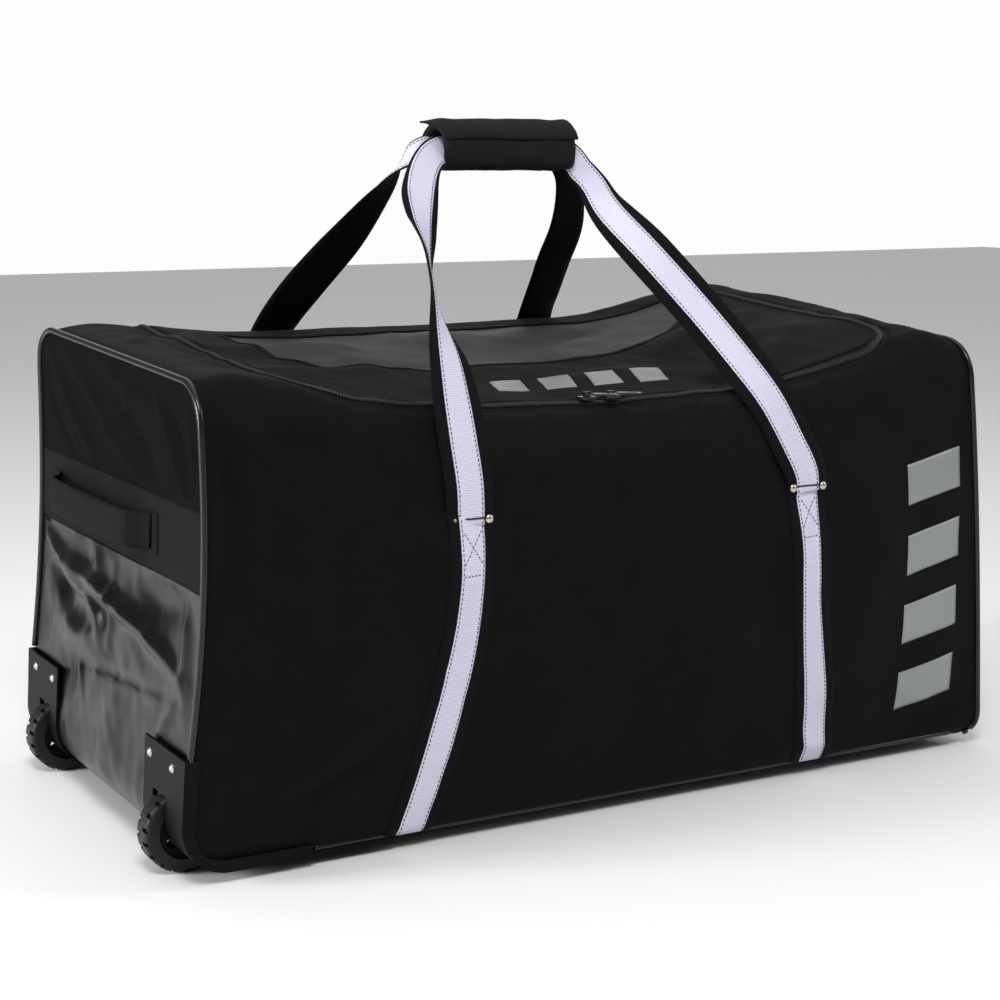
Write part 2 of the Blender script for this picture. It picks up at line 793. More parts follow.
@dataclass(frozen=True)
class BagForm:
    """Outer cloth of the bag as a surface over x and a section parameter v.

    v runs 0 to 1 up the front, to 2 over the front edge, to 3 across the top to
    the lid's hinge line, to 4 and 5 over the back edge, and to 6 down the back.
    """

    half_length: float = 457.0
    half_depth: float = 228.5
    base: float = 14.0
    lean: tuple[float, float] = (28.0, 34.0)
    lean_rise: float = 428.0
    end_radius: tuple[float, float] = (42.0, 22.0)
    sag_low: float = 400.0
    sag_rise: float = 46.0
    span: float = 470.0
    bulge_mid: float = 25.0
    bulge_end: float = 2.0
    edge_radius: float = 52.0
    edge_rise: float = -4.0
    hinge_y: float = 183.5
    bow: float = 9.0
    crowns: tuple[float, float] = (13.0, 22.0)
    stations: tuple[tuple[float, float], ...] = (
        (-470.0, 457.0),
        (-345.0, 447.5),
        (-170.0, 446.0),
        (0.0, 445.0),
        (170.0, 446.0),
        (345.0, 452.0),
        (400.0, 462.0),
        (470.0, 478.0),
    )
    widths: tuple[float, ...] = (376.0, 44.0, 388.0, 10.0, 54.0, 400.0)

    def sag(self, x: Array) -> Array:
        """Height of the front top edge."""
        return self.sag_low + self.sag_rise * (x / self.span) ** 2

    def back(self, x: Array) -> Array:
        """Height of the back top edge."""
        at, height = np.array(self.stations).T
        return np.interp(x, at, height)

    def crown(self, x: Array, v: Array) -> Array:
        """Extra height of the top near both ends, rounded off to the seams."""
        left = self.crowns[0] * (1 - fade(x, -400, -200)) * np.sqrt(fade(x, -436, -380))
        right = self.crowns[1] * fade(x, 170, 360) * np.sqrt(1 - fade(x, 368, 424))
        return (left + right) * fade(v, 1.15, 2.15) * (1 - fade(v, 3.6, 4.7))

    def section(self, x: Array, v: Array) -> tuple[Array, Array]:
        """Depth and height of the section at x.

        Args:
            x: stations along the bag.
            v: section parameters, as many as x.

        Returns:
            The y and z of each point, without folds.
        """
        x, v = np.broadcast_arrays(np.asarray(x, float), np.asarray(v, float))
        share = (x / self.span) ** 2
        bulge = self.bulge_end + self.bulge_mid * (1 - share)
        radius = self.edge_radius + self.edge_rise * share
        front, back, half = self.sag(x), self.back(x), self.half_depth
        cut_f, cut_b = 0.68 * radius, 0.8 * np.minimum(radius, 43.0)
        slope = np.hypot(self.hinge_y + half, back - front)
        top_y, top_z = -half + cut_f * (self.hinge_y + half) / slope, front + cut_f * (back - front) / slope

        def face(z: Array, top: Array) -> Array:
            mid, rise = (self.base + top) / 2, (top - self.base) / 2
            tuck = 5.0 * np.clip(1 - (z - self.base) / 12.0, 0, 1) ** 2
            return half + bulge * (1 - ((z - mid) / rise) ** 2) - tuck

        def corner(t: Array, p: tuple, q: tuple, r: tuple, weight: float) -> tuple[Array, Array]:
            a, b, c = (1 - t) ** 2, 2 * weight * t * (1 - t), t**2
            whole = a + b + c
            return ((a * p[0] + b * q[0] + c * r[0]) / whole, (a * p[1] + b * q[1] + c * r[1]) / whole)

        z_front = self.base + np.clip(v, 0, 1) * (front - cut_f - self.base)
        z_one = front - cut_f
        z_two = back - cut_b
        z_back = z_two + np.clip(v - 5, 0, 1) * (self.base - z_two)
        over_y, over_z = corner(np.clip(v - 1, 0, 1), (-face(z_one, front), z_one), (-half, front), (top_y, top_z), 0.83)
        t = np.clip(v - 2, 0, 1)
        flat_y, flat_z = top_y + t * (self.hinge_y - top_y), top_z + t * (back - top_z)
        u = np.clip(v - 3, 0, 1)
        far_y = self.hinge_y + u * (half - cut_b - self.hinge_y)
        turn_y, turn_z = corner(np.clip(v - 4, 0, 1), (half - cut_b, back), (half, back), (face(z_two, back), z_two), 0.8)
        zones = [v <= 1, v <= 2, v <= 3, v <= 4, v <= 5]
        y = np.select(zones, [-face(z_front, front), over_y, flat_y, far_y, turn_y], face(z_back, back))
        z = np.select(zones, [z_front, over_z, flat_z, back, turn_z], z_back)
        return y, z + self.crown(x, v)

    def end_x(self, side: int, z: Array) -> Array:
        """Where one leaning end lies at a height.

        Args:
            side: -1 for the wheel end, 1 for the far end.
            z: heights.

        Returns:
            The x of the end there, its rounded foot included.
        """
        index = 0 if side < 0 else 1
        k, r = self.lean[index] / self.lean_rise, self.end_radius[index]
        angle = math.atan(k)
        centre = self.half_length - r * math.tan((math.pi / 2 + angle) / 2)
        low = self.base + r
        flat = self.half_length - k * (z - self.base)
        if side < 0:
            flat = flat - self.bow * np.sin(math.pi * np.clip((z - 70.0) / 372.0, 0, 1))
        arc = centre + np.sqrt(np.clip(r**2 - (z - low) ** 2, 0, None))
        return side * np.where(z < low + r * math.sin(angle), arc, flat)

    def end_curve(self, side: int, v: Array, grow: float = 0.0) -> Array:
        """Points where the wrap meets an end panel.

        Args:
            side: -1 or 1.
            v: section parameters.
            grow: how far outside the surface the points lie.

        Returns:
            (n, 3) points.
        """
        x = np.full(len(v), side * 440.0)
        for _ in range(8):
            x = self.end_x(side, self.section(x, v)[1])
        return self.raw(x, v) + self.normal(x, v) * grow

    def raw(self, x: Array, v: Array) -> Array:
        """Points of the surface without folds."""
        y, z = self.section(x, v)
        return np.stack([np.broadcast_to(x, y.shape), y, z], axis=-1)

    def normal(self, x: Array, v: Array) -> Array:
        """Outward normals of the surface without folds."""
        x, v = np.broadcast_arrays(np.asarray(x, float), np.asarray(v, float))
        along = self.raw(x + 1.0, v) - self.raw(x - 1.0, v)
        step = 0.004
        up = self.raw(x, np.clip(v + step, 0, 6)) - self.raw(x, np.clip(v - step, 0, 6))
        return unit(np.cross(along, up))

    def folds(self, x: Array, v: Array) -> Array:
        """Height of the folds and soft bumps on the wrap."""
        y, z = self.section(x, v)
        front = 1 - fade(v, 0.97, 1.25)
        back = fade(v, 4.6, 5.1)
        top = fade(v, 1.45, 1.75) * (1 - fade(v, 3.7, 4.3))
        out = front * (2.3 * total(FRONT_FOLDS, x, z) + 2.4 * noise(x, z, 66, 3) + 0.8 * noise(x, z, 24, 4))
        out = out + top * (total(TOP_FOLDS, x, y) + 2.2 * noise(x, y, 58, 5) + 0.9 * noise(x, y, 23, 6))
        out = out + back * (total(BACK_FOLDS, x, z) + 1.6 * noise(x, z, 60, 7) + 0.6 * noise(x, z, 22, 8))
        left = fade(x - self.end_x(-1, z), 2, 34)
        right = fade(self.end_x(1, z) - x, 2, 34)
        low = fade(z, self.base + 2, self.base + 26)
        return out * left * right * low

    def place(self, x: Array, v: Array, lift: Array = 0.0) -> Array:
        """Points on the folded surface.

        Args:
            x: stations along the bag.
            v: section parameters.
            lift: height above the cloth.

        Returns:
            Points, with a last axis of three.
        """
        x, v = np.broadcast_arrays(np.asarray(x, float), np.asarray(v, float))
        height = np.asarray(lift) + self.folds(x, v)
        return self.raw(x, v) + self.normal(x, v) * height[..., None]

    def width(self, v: Array) -> Array:
        """Millimetres round the section up to v."""
        return np.interp(v, np.arange(7), np.concatenate([[0.0], np.cumsum(self.widths)]))

    def v_of(self, width: Array) -> Array:
        """Section parameter at a distance round the section."""
        return np.interp(width, np.concatenate([[0.0], np.cumsum(self.widths)]), np.arange(7))

    def v_at_height(self, x: Array, z: Array, front: bool = True) -> Array:
        """Section parameter of a height on the front or the back.

        Args:
            x: stations along the bag.
            z: heights below the rounded edge.
            front: picks the front or the back.

        Returns:
            Section parameters.
        """
        share = (np.asarray(x) / self.span) ** 2
        radius = self.edge_radius + self.edge_rise * share
        if front:
            top = self.sag(x) - 0.68 * radius
            return (z - self.base) / (top - self.base)
        top = self.back(x) - 0.8 * np.minimum(radius, 43.0)
        return 5 + (top - z) / (top - self.base)

    def v_at_depth(self, x: Array, y: Array) -> Array:
        """Section parameter of a depth on the top.

        Args:
            x: stations along the bag.
            y: depths.

        Returns:
            Section parameters between 1 and 5.
        """
        x, y = np.broadcast_arrays(np.asarray(x, float), np.asarray(y, float))
        low, high = np.full(x.shape, 1.0), np.full(x.shape, 5.0)
        for _ in range(26):
            mid = (low + high) / 2
            under = self.section(x, mid)[0] < y
            low, high = np.where(under, mid, low), np.where(under, high, mid)
        return (low + high) / 2

    def on_top(self, x: Array, y: Array, lift: Array = 0.0) -> Array:
        """Points on the top, given from above."""
        return self.place(x, self.v_at_depth(x, y), lift)

    def on_front(self, x: Array, z: Array, lift: Array = 0.0, front: bool = True) -> Array:
        """Points on the front or the back, given from the side."""
        return self.place(x, self.v_at_height(x, z, front), lift)


FORM = BagForm()


def section_steps(count: int) -> Array:
    """Section parameters, closer together where the ends round into the base.

    Args:
        count: steps up the front.

    Returns:
        Parameters from 0 to 6.
    """
    foot = 0.12 * np.linspace(0, 1, 14, endpoint=False) ** 2
    rise = np.linspace(0.12, 1, count, endpoint=False)
    middle = np.concatenate([np.linspace(k, k + 1, n, endpoint=False) for k, n in ((1, 10), (2, 58), (3, 3), (4, 10))])
    climb = np.concatenate([foot, rise])
    return np.concatenate([climb, middle, 6.0 - climb[::-1][:-1], [6.0]])


@dataclass(frozen=True)
class LidOutline:
    """Line of the zip, seen from above: three sides with two round corners."""

    left: float = -337.0
    right: float = 356.0
    front: float = -206.0
    corner: float = 62.0
    hinge: float = 183.5

    def path(self, grow: float, step: float = 4.0, back: Optional[float] = None) -> Array:
        """Points from the left hinge end round the front to the right one.

        Args:
            grow: how far outside the zip line.
            step: spacing.
            back: depth where both ends stop.

        Returns:
            (n, 2) points in x and y.
        """
        back = self.hinge if back is None else back
        x0, x1, y0 = self.left - grow, self.right + grow, self.front - grow
        r = self.corner + grow
        turn = np.linspace(0, math.pi / 2, max(4, int(r * 1.57 / step)))
        one = np.column_stack([x0 + r - r * np.cos(turn), y0 + r - r * np.sin(turn)])
        two = np.column_stack([x1 - r + r * np.sin(turn), y0 + r - r * np.cos(turn)])
        rows = [np.array([[x0, back]]), one, two, np.array([[x1, back]])]
        corners = np.vstack(rows)
        along = np.concatenate([[0.0], np.cumsum(np.linalg.norm(np.diff(corners, axis=0), axis=1))])
        at = np.linspace(0, along[-1], max(2, int(along[-1] / step)))
        return np.column_stack([np.interp(at, along, corners[:, i]) for i in (0, 1)])


LID = LidOutline()


# --------------------------------------------------------------------------
# Cloth of the bag
# --------------------------------------------------------------------------


def report(piece: bpy.types.Object) -> bpy.types.Object:
    """Log one finished piece."""
    LOG.info("%s: %d points", piece.name, len(piece.data.vertices))
    return piece


@dataclass
class Shell:
    """Front, back, rims, base and end panels."""

    step: float = 6.5
    cloth: float = 1.4
    hem: float = 8.5
    hinge_back: float = 199.0
    band: tuple[float, float] = (262.0, 332.0)
    wrapped: tuple[str, ...] = ("front_panel", "back_panel", "rim_left", "rim_right", "rim_back")

    def wrap(self) -> None:
        """Build the cloth round the bag with its lid opening."""
        v = section_steps(56)
        left, right = FORM.end_curve(-1, v), FORM.end_curve(1, v)
        w = FORM.width(v)
        loop = np.vstack([np.column_stack([left[:, 0], w])[::-1], np.column_stack([right[:, 0], w])])
        hole = LID.path(self.hem, 6.0, self.hinge_back)
        hole_w = FORM.width(FORM.v_at_depth(hole[:, 0], hole[:, 1]))
        hole = np.column_stack([hole[:, 0], hole_w])
        flat, faces = fill_loop(loop, self.step, (hole,))
        centre = np.array([flat[list(f)].mean(axis=0) for f in faces])
        keep = ~inside(centre, hole)
        faces = [f for f, k in zip(faces, keep) if k]
        self._cloth("bag_wrap", flat, faces, self.wrapped)

    def _cloth(self, name: str, flat: Array, faces: list, nodes: Sequence[str]) -> None:
        """Make one piece of the wrap.

        Args:
            name: object name.
            flat: flat points, along the length and across the cloth.
            faces: triangles.
            nodes: nodes it stands for.
        """
        flat, faces, _ = compact(flat, faces, flat)
        points = FORM.place(flat[:, 0], FORM.v_of(flat[:, 1]))
        sheet = thicken(points, oriented(flat, faces), flat, self.cloth)
        report(sheet.build(name, FINISH.polyester, "bag", nodes, slot="polyester"))

    def end(self, side: int) -> None:
        """Build one end: coated foot, fabric band and mesh above it.

        Args:
            side: -1 for the wheel end, 1 for the far end.
        """
        word = "left" if side < 0 else "right"
        v = section_steps(70)
        edge = FORM.end_curve(side, v)
        spans = ((FORM.base, self.band[0]), self.band, (self.band[1], 600.0))
        finishes = (FINISH.tarpaulin, FINISH.polyester, FINISH.netting)
        slots = ("tarpaulin", "polyester", "mesh")
        for (low, high), finish, part, slot in zip(spans, finishes, ("lower", "band", "mesh"), slots):
            loop = self._between(edge[:, 1:], low, high)
            if low == FORM.base:
                loop[:, 1] = np.where(loop[:, 1] < FORM.base + 0.5, FORM.base, loop[:, 1])
            flat, faces = fill_loop(loop, 5.0)
            self._end_cloth(side, f"end_{part}_{word}", flat, faces, finish, slot)

    def _between(self, edge: Array, low: float, high: float) -> Array:
        """Part of an end's outline between two heights.

        Args:
            edge: outline as y and z.
            low: lower height.
            high: upper height.

        Returns:
            The part's corners.
        """
        keep = []
        for (y0, z0), (y1, z1) in zip(edge[:-1], edge[1:]):
            if low <= z0 <= high:
                keep.append((y0, z0))
            for level in (low, high):
                if (z0 - level) * (z1 - level) < 0:
                    t = (level - z0) / (z1 - z0)
                    keep.append((y0 + t * (y1 - y0), level))
        if low <= edge[-1, 1] <= high:
            keep.append(tuple(edge[-1]))
        return np.array(keep)

    def _end_cloth(
        self, side: int, name: str, flat: Array, faces: list, finish: Finish, slot: str
    ) -> None:
        """Make one piece of an end.

        Args:
            side: -1 for the wheel end, 1 for the far end.
            name: object name and the node it stands for.
            flat: flat points, across the end and up.
            faces: triangles.
            finish: its finish.
            slot: material slot of the record.
        """
        points = end_place(side, flat[:, 0], flat[:, 1])
        turn = oriented(flat, faces)
        if side < 0:
            turn = [tuple(reversed(f)) for f in turn]
        rows = thicken(points, turn, flat, 1.2)
        report(rows.build(name, finish, "bag", (name,), slot=slot))

    def base(self) -> None:
        """Build the base cloth, cut out round both wheels."""
        x0, x1, half = -411.0, 434.0, FORM.half_depth - 5.2
        notch = -390.0
        loop = [(x0, -half), (x1, -half), (x1, half), (x0, half), (x0, 193), (notch, 193), (notch, 154), (x0, 154)]
        loop += [(x0, -154), (notch, -154), (notch, -193), (x0, -193)]
        flat, faces = fill_loop(np.array(loop, float), 9.0)
        x, y = flat.T
        z = FORM.base + 1.2 * fade(noise(x, y, 90, 11), -1, 1) * fade(half - np.abs(y), 0, 30)
        points = np.column_stack([x, y, z])
        faces = [tuple(reversed(f)) for f in oriented(flat, faces)]
        report(
            thicken(points, faces, flat, 1.4).build(
                "base_cloth", FINISH.base, "bag", ("base_panel",), slot="base_fabric"
            )
        )

    def build(self) -> None:
        """Make every panel."""
        self.wrap()
        for side in (-1, 1):
            self.end(side)
        self.base()


def oriented(flat: Array, faces: list) -> list:
    """Turn flat triangles so that they all run anticlockwise."""
    out = []
    for f in faces:
        a, b, c = flat[f[0]], flat[f[1]], flat[f[2]]
        turn = (b[0] - a[0]) * (c[1] - a[1]) - (b[1] - a[1]) * (c[0] - a[0])
        out.append(f if turn > 0 else tuple(reversed(f)))
    return out


PVC_FOLDS = (
    Fold(((213, 243), (143, 228), (38, 219), (-34, 210), (-103, 200), (-157, 190), (-206, 172)), 9, 9.0),
    Fold(((206, 238), (141, 216), (75, 206), (30, 192), (21, 164)), 9, 7.0),
    Fold(((180, 214), (150, 200), (110, 190)), 13, -7.0),
    Fold(((-3, 236), (-3, 196), (9, 160)), 8, 4.5),
    Fold(((-60, 246), (-110, 232), (-190, 246)), 20, -7.0),
    Fold(((150, 168), (80, 160), (22, 176)), 14, 6.0),
    Fold(((-190, 240), (-196, 204), (-200, 160)), 11, 4.0),
    Fold(((134, 131), (19, 144), (-85, 152), (-196, 161)), 4, -2.6),
    Fold(((-137, 108), (-160, 132), (-186, 153)), 6, 3.5),
    Fold(((-150, 92), (-176, 118)), 5, -2.8),
    Fold(((88, 142), (72, 120), (64, 98)), 5, 2.8),
    Fold(((108, 138), (96, 104)), 6, -2.4),
    Fold(((0, 130), (-20, 90), (10, 50)), 28, 3.0),
    Fold(((60, 252), (40, 236), (70, 222)), 12, 3.0),
)
MESH_FOLDS = (
    Fold(((196, 436), (116, 376), (50, 340)), 7, 5.0),
    Fold(((150, 440), (60, 404), (-40, 352), (-80, 336)), 9, 6.0),
    Fold(((205, 400), (160, 360), (120, 338)), 7, -4.0),
    Fold(((60, 446), (-25, 424), (-100, 412), (-150, 398)), 9, 5.0),
    Fold(((20, 420), (-60, 384), (-120, 340)), 10, -5.0),
    Fold(((-80, 432), (-17, 396), (30, 360)), 8, 4.0),
    Fold(((-120, 426), (-150, 404), (-176, 360), (-196, 336)), 7, 5.5),
    Fold(((-150, 418), (-176, 390), (-200, 344)), 6, -4.0),
    Fold(((-200, 420), (-214, 380), (-206, 340)), 6, 4.0),
    Fold(((-226, 400), (-232, 370), (-226, 340)), 5, 3.0),
)


def end_place(side: int, y: Array, z: Array, lift: Array = 0.0) -> Array:
    """Points on one folded end panel.

    Args:
        side: -1 for the wheel end, 1 for the far end.
        y: depths.
        z: heights.
        lift: height above the cloth.

    Returns:
        Points, with a last axis of three.
    """
    y, z = np.broadcast_arrays(np.asarray(y, float), np.asarray(z, float))
    x = FORM.end_x(side, z)
    ahead = FORM.end_x(side, z + 0.5) - FORM.end_x(side, z - 0.5)
    normal = unit(np.stack([side * np.ones_like(z), 0 * z, -side * ahead], axis=-1))
    if side > 0:
        y_fold = -y
    else:
        y_fold = y
    low = 1 - fade(z, 250, 266)
    high = fade(z, 328, 342)
    height = low * (total(PVC_FOLDS, y_fold, z) + 1.6 * noise(y_fold, z, 40, 21) + 0.6 * noise(y_fold, z, 15, 22))
    height = height + high * (total(MESH_FOLDS, y_fold, z) + 1.5 * noise(y_fold, z, 34, 23))
    height = height + (1 - low) * (1 - high) * 0.8 * noise(y_fold, z, 40, 24)
    top = FORM.section(x, FORM.v_at_depth(x, np.clip(y, -222, 222)))[1]
    half = 228.5
    rim = fade(half - np.abs(y), -2, 16) * fade(top - z, 1, 18)
    guard = 1 - fade(np.abs(y), 118, 134) * (1 - fade(z, 112, 128))
    foot = fade(z, FORM.base + 3, FORM.base + 40)
    height = height * rim * guard * foot
    return np.stack([x, y, z], axis=-1) + normal * (np.asarray(lift) + height)[..., None]


# --------------------------------------------------------------------------
# Lid and zip
# --------------------------------------------------------------------------


@dataclass
class Lid:
    """The top flap with its mesh window, blended across its hinge line."""

    hem: float = 8.5
    hinge_back: float = 200.0
    mesh_x: tuple[float, float] = (-262.0, 300.0)
    mesh_y: tuple[float, float] = (-40.0, 150.0)
    lift: float = 0.4

    def _window(self, grow: float) -> Array:
        """Outline of the mesh window.

        Args:
            grow: distance the outline is moved outwards.

        Returns:
            Closed loop of x and y.
        """
        x0, x1 = self.mesh_x[0] - grow, self.mesh_x[1] + grow
        y1 = self.mesh_y[1] + grow
        front = [(x0, 8), (-190, -36), (-110, -42), (-20, -36), (90, -24), (190, 16), (x1, 96)]
        front = [(x, y - grow) for x, y in front]
        bend = smooth_path([(x, y, 0) for x, y in front], 5.5)[:, :2]
        return resample(np.vstack([bend, [(x1, y1), (x0, y1)]]), 5.5)

    def _blend(self, piece: bpy.types.Object) -> None:
        """Let a piece bend from the bag to the lid at the hinge line."""
        piece.parent = None
        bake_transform(piece)

    def build(self) -> None:
        """Make the lid cloth and its mesh window."""
        loop = LID.path(-self.hem, 6.0, self.hinge_back)
        window = self._window(0.0)
        flat, faces = fill_loop(loop, 6.0, (window,))
        centre = np.array([flat[list(f)].mean(axis=0) for f in faces])
        hole = inside(centre, window)
        cloth = oriented(flat, [f for f, k in zip(faces, ~hole) if k])
        points = FORM.on_top(flat[:, 0], flat[:, 1], self.lift)
        piece = thicken(*compact(points, cloth, flat), 1.4)
        obj = report(piece.build("lid_cloth", FINISH.polyester, "lid", ("lid_panel",), slot="polyester"))
        self._blend(obj)
        flat, faces = fill_loop(self._window(4.0), 5.0)
        points = FORM.on_top(flat[:, 0], flat[:, 1], self.lift - 0.9)
        piece = thicken(points, oriented(flat, faces), flat, 0.9)
        report(piece.build("lid_window", FINISH.lid_netting, "lid", ("lid_mesh",), slot="mesh"))
        self._binding()

    def _binding(self) -> None:
        """Narrow woven binding round the mesh window."""
        loop = resample(self._window(0.0), 5.5)
        ring = np.vstack([loop, loop[:1]])
        tangent = unit(np.gradient(ring, axis=0))
        side = np.column_stack([tangent[:, 1], -tangent[:, 0]])
        rows = []
        for across, lift in ((-3.5, 0.2), (-3.2, 0.9), (0.0, 1.1), (3.2, 0.9), (3.5, 0.2)):
            at = ring + side * across
            rows.append(FORM.on_top(at[:, 0], at[:, 1], self.lift + lift))
        top = np.stack(rows, axis=1)
        low = top - (0, 0, 1.6)
        along = lengths(ring)
        over = np.linspace(0, 7, 5)
        uv = np.stack(np.broadcast_arrays(along[:, None], over[None, :]), axis=-1)
        report(slab(top, low, uv).build("lid_binding", FINISH.webbing, "lid", slot="webbing"))


def compact(points: Array, faces: list, uv: Array) -> tuple[Array, list, Array]:
    """Drop the points that no face uses."""
    used = np.zeros(len(points), bool)
    used[np.unique(np.array(faces))] = True
    index = np.cumsum(used) - 1
    return points[used], [tuple(int(index[i]) for i in f) for f in faces], uv[used]


@dataclass
class Zip:
    """Coil zip round the lid: two woven tapes, two rows of coil."""

    pitch: float = 2.6
    tape: float = 13.0
    coil: float = 3.2

    def _half(self, side: int) -> None:
        """Build one half of the zip.

        Args:
            side: -1 for the lid's half, 1 for the bag's half.
        """
        word = "lid" if side < 0 else "body"
        body = "lid" if side < 0 else "bag"
        rows = []
        offsets = (0.6, 2.6, 5.0, 8.0, self.tape)
        lifts = (0.5, 0.5, 0.3, -0.3, -1.4)
        count = 0
        for offset, lift in zip(offsets, lifts):
            line = LID.path(side * offset, 4.0)
            count = count or len(line)
            at = np.linspace(0, len(line) - 1, count)
            line = np.column_stack([np.interp(at, np.arange(len(line)), line[:, i]) for i in (0, 1)])
            rows.append(FORM.on_top(line[:, 0], line[:, 1], lift))
        top = np.stack(rows if side > 0 else rows[::-1], axis=1)
        low = top - (0, 0, 0.8)
        along = lengths(top[:, 0])
        across = np.array(offsets)
        uv = np.stack(np.broadcast_arrays(along[:, None], across[None, :]), axis=-1)
        tape = slab(top[:, ::-1], low[:, ::-1], uv)
        report(
            tape.build(
                "zip_tape_" + word + "_woven", FINISH.zip_tape, body, ("zip_tape_" + word,), slot="zip_tape"
            )
        )
        report(
            self._coil(side).build(
                "zip_coil_" + word, FINISH.coil, body, ("zip_chain_" + word,), slot="zip_coil"
            )
        )

    def _coil(self, side: int) -> Sheet:
        """Row of coil turns on one side of the zip line."""
        line = LID.path(0.0, 0.4)
        along = np.concatenate([[0.0], np.cumsum(np.linalg.norm(np.diff(line, axis=0), axis=1))])
        shift = 0.5 if side > 0 else 0.0
        at = np.arange(4.0, along[-1] - 4.0, self.pitch) + shift * self.pitch
        mid = np.column_stack([np.interp(at, along, line[:, i]) for i in (0, 1)])
        ahead = np.column_stack([np.interp(at + 0.5, along, line[:, i]) for i in (0, 1)])
        tangent = unit(ahead - mid)
        out = np.column_stack([tangent[:, 1], -tangent[:, 0]]) * side
        ring = [(-1.0, 0.6), (-0.85, 1.8), (0.0, 2.5), (0.85, 1.8), (1.0, 0.6)]
        stops = ((-0.7, -0.35), (0.6, 0.1), (2.2, 0.1), (self.coil, -0.4))
        grids = []
        for across, drop in stops:
            for step, rise in ring:
                p = mid + out * across + tangent * step
                grids.append(FORM.on_top(p[:, 0], p[:, 1], rise + drop))
        points = np.stack(grids, axis=1)
        per = len(ring) * len(stops)
        faces = []
        quads = grid_faces(len(stops), len(ring), wrap=True)
        caps = [tuple(reversed(range(len(ring)))), tuple(per - len(ring) + i for i in range(len(ring)))]
        for k in range(len(at)):
            start = k * per
            unitary = [tuple(start + i for i in f) for f in quads + caps]
            faces += unitary if side > 0 else [tuple(reversed(f)) for f in unitary]
        uv = np.zeros((len(at) * per, 2))
        return Sheet(points.reshape(-1, 3), faces, uv)

    def build(self) -> None:
        """Make both halves."""
        for side in (-1, 1):
            self._half(side)


# --------------------------------------------------------------------------
# Piping, straps, tape and marks
# --------------------------------------------------------------------------


def dashes(path: Array, normal: Array, length: float = 3.0, gap: float = 1.4, radius: float = 0.42) -> Sheet:
    """Row of stitches that lie along a path.

    Args:
        path: (n, 3) points on the cloth.
        normal: (n, 3) directions away from it.
        length: length of one stitch.
        gap: space between two stitches.
        radius: half of the thread's thickness.

    Returns:
        One sheet with every stitch.
    """
    along = lengths(path)
    starts = np.arange(0.5, along[-1] - length, length + gap)
    rings = []
    for share, size in ((0.0, 0.35), (0.2, 1.0), (0.8, 1.0), (1.0, 0.35)):
        at = starts + share * length
        p = np.column_stack([np.interp(at, along, path[:, i]) for i in range(3)])
        q = np.column_stack([np.interp(at + 0.3, along, path[:, i]) for i in range(3)])
        n = unit(np.column_stack([np.interp(at, along, normal[:, i]) for i in range(3)]))
        side = np.cross(unit(q - p), n)
        for a, b in ((-1, -0.6), (-0.7, 0.7), (0.7, 0.7), (1, -0.6)):
            rings.append(p + (side * a + n * b) * radius * size)
    points = np.stack(rings, axis=1)
    quads = grid_faces(4, 4, wrap=True) + [(3, 2, 1, 0), (12, 13, 14, 15)]
    faces = [tuple(k * 16 + i for i in f) for k in range(len(starts)) for f in quads]
    return Sheet(points.reshape(-1, 3), faces, np.zeros((len(starts) * 16, 2)))


@dataclass
class Piping:
    """Glossy cord in the seams of both ends and along the base."""

    radius: float = 3.2

    def build(self) -> None:
        """Make the four cords."""
        for side, word, floor in ((-1, "left", 116.0), (1, "right", FORM.base + 0.4)):
            edge = FORM.end_curve(side, section_steps(150), 0.6)
            edge = edge[edge[:, 2] > floor] + (side * 0.6, 0, 0)
            edge = smooth_path(edge[::2], 5.0)
            report(
                tube(edge, self.radius).build(
                    "cord_" + word, FINISH.piping, "bag", ("piping_" + word,), slot="piping"
                )
            )
        x = np.linspace(-330, 424, 160)
        for side, word in ((-1, "front"), (1, "back")):
            v = 0.0 * x if side < 0 else 0.0 * x + 6.0
            y = FORM.section(x, v)[0] + side * (1.0 + 0.5 * noise(x, 0 * x, 70, 31))
            z = FORM.base + 2.8 + 0 * x
            report(
                tube(np.column_stack([x, y, z]), 2.6).build(
                    "cord_" + word, FINISH.piping, "bag", ("piping_" + word,), slot="piping"
                )
            )


